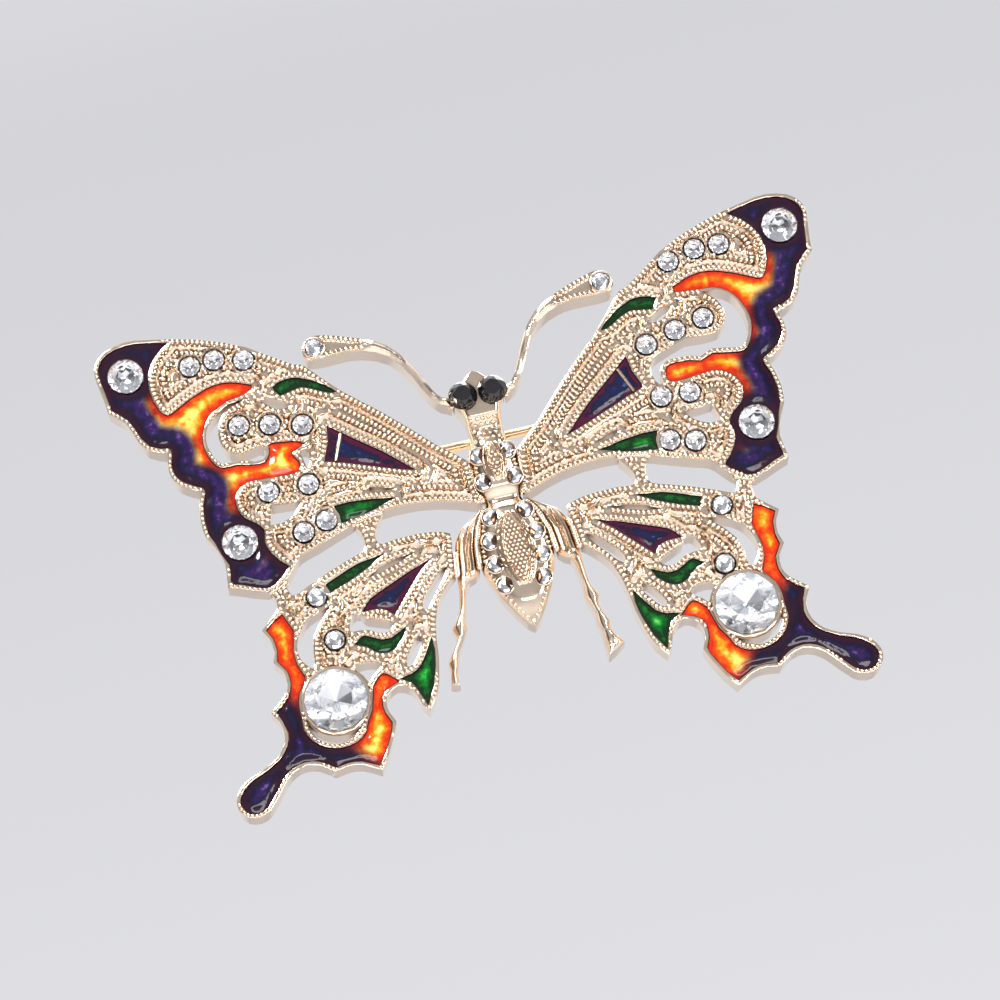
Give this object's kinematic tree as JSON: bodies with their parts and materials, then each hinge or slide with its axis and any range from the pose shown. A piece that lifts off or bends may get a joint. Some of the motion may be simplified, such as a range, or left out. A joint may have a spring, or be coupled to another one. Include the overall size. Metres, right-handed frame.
{
  "type": "butterfly brooch",
  "caption": "Openwork butterfly brooch with enamel fields, faceted stones, a swinging pin stem and a turning safety catch.",
  "frame": {"origin": "middle of the pin stem's axis, where the garment holds the brooch", "axes": "+X across the span towards the catch side, -Y out of the decorated front, +Z towards the head, upright as it is worn"},
  "size_m": [0.0688, 0.0082, 0.0473],
  "materials": {
    "gold_casting": "polished pale rose gold plating on a zinc alloy casting",
    "pin_metal": "polished gold plating on steel wire and sheet",
    "purple_enamel": "glossy dark purple and blue enamel that runs into orange",
    "green_enamel": "glossy translucent green enamel",
    "clear_stone": "clear faceted glass with a foiled back",
    "black_stone": "black faceted glass"
  },
  "bodies": {
    "brooch": {"antenna_left": "gold_casting", "antenna_right": "gold_casting", "body_casting": "gold_casting", "catch_base": "pin_metal", "eye_stone_left": "black_stone", "eye_stone_right": "black_stone", "finger_stone_1_left": "clear_stone", "finger_stone_1_right": "clear_stone", "finger_stone_2_left": "clear_stone", "finger_stone_2_right": "clear_stone", "forewing_band_enamel_left": "purple_enamel", "forewing_band_enamel_right": "purple_enamel", "forewing_casting_left": "gold_casting", "forewing_casting_right": "gold_casting", "forewing_finger_enamel_left": "green_enamel", "forewing_finger_enamel_right": "green_enamel", "forewing_leaf_enamel_left": "green_enamel", "forewing_leaf_enamel_right": "green_enamel", "forewing_wedge_enamel_left": "purple_enamel", "forewing_wedge_enamel_right": "purple_enamel", "hindwing_band_enamel_left": "purple_enamel", "hindwing_band_enamel_right": "purple_enamel", "hindwing_casting_left": "gold_casting", "hindwing_casting_right": "gold_casting", "hindwing_crescent_enamel_left": "green_enamel", "hindwing_crescent_enamel_right": "green_enamel", "hindwing_finger_enamel_left": "green_enamel", "hindwing_finger_enamel_right": "green_enamel", "hindwing_triangle_enamel_left": "green_enamel", "hindwing_triangle_enamel_right": "green_enamel", "hindwing_wedge_enamel_left": "purple_enamel", "hindwing_wedge_enamel_right": "purple_enamel", "hinge_bracket": "pin_metal", "hinge_rivet": "pin_metal", "inner_lobe_stone_1_left": "clear_stone", "inner_lobe_stone_1_right": "clear_stone", "inner_lobe_stone_2_left": "clear_stone", "inner_lobe_stone_2_right": "clear_stone", "inner_lobe_stone_3_left": "clear_stone", "inner_lobe_stone_3_right": "clear_stone", "large_stone_left": "clear_stone", "large_stone_right": "clear_stone", "leg_left": "gold_casting", "leg_right": "gold_casting", "lower_leaf_stone_1_left": "clear_stone", "lower_leaf_stone_1_right": "clear_stone", "lower_leaf_stone_2_left": "clear_stone", "lower_leaf_stone_2_right": "clear_stone", "lower_medium_stone_left": "clear_stone", "lower_medium_stone_right": "clear_stone", "top_leaf_stone_1_left": "clear_stone", "top_leaf_stone_1_right": "clear_stone", "top_leaf_stone_2_left": "clear_stone", "top_leaf_stone_2_right": "clear_stone", "top_leaf_stone_3_left": "clear_stone", "top_leaf_stone_3_right": "clear_stone", "upper_medium_stone_left": "clear_stone", "upper_medium_stone_right": "clear_stone"},
    "pin": {"pin_stem": "pin_metal"},
    "sleeve": {"catch_sleeve": "pin_metal"}
  },
  "joints": [
    {"name": "pin_hinge", "type": "hinge", "parent": "brooch", "child": "pin", "pos_m": [-0.014, 0, 0], "axis": [0, 0, 1], "range_deg": [0, 95]},
    {"name": "catch_turn", "type": "hinge", "parent": "brooch", "child": "sleeve", "pos_m": [0.014, 0, 0], "axis": [1, 0, 0], "range_deg": [0, 150]}
  ]
}
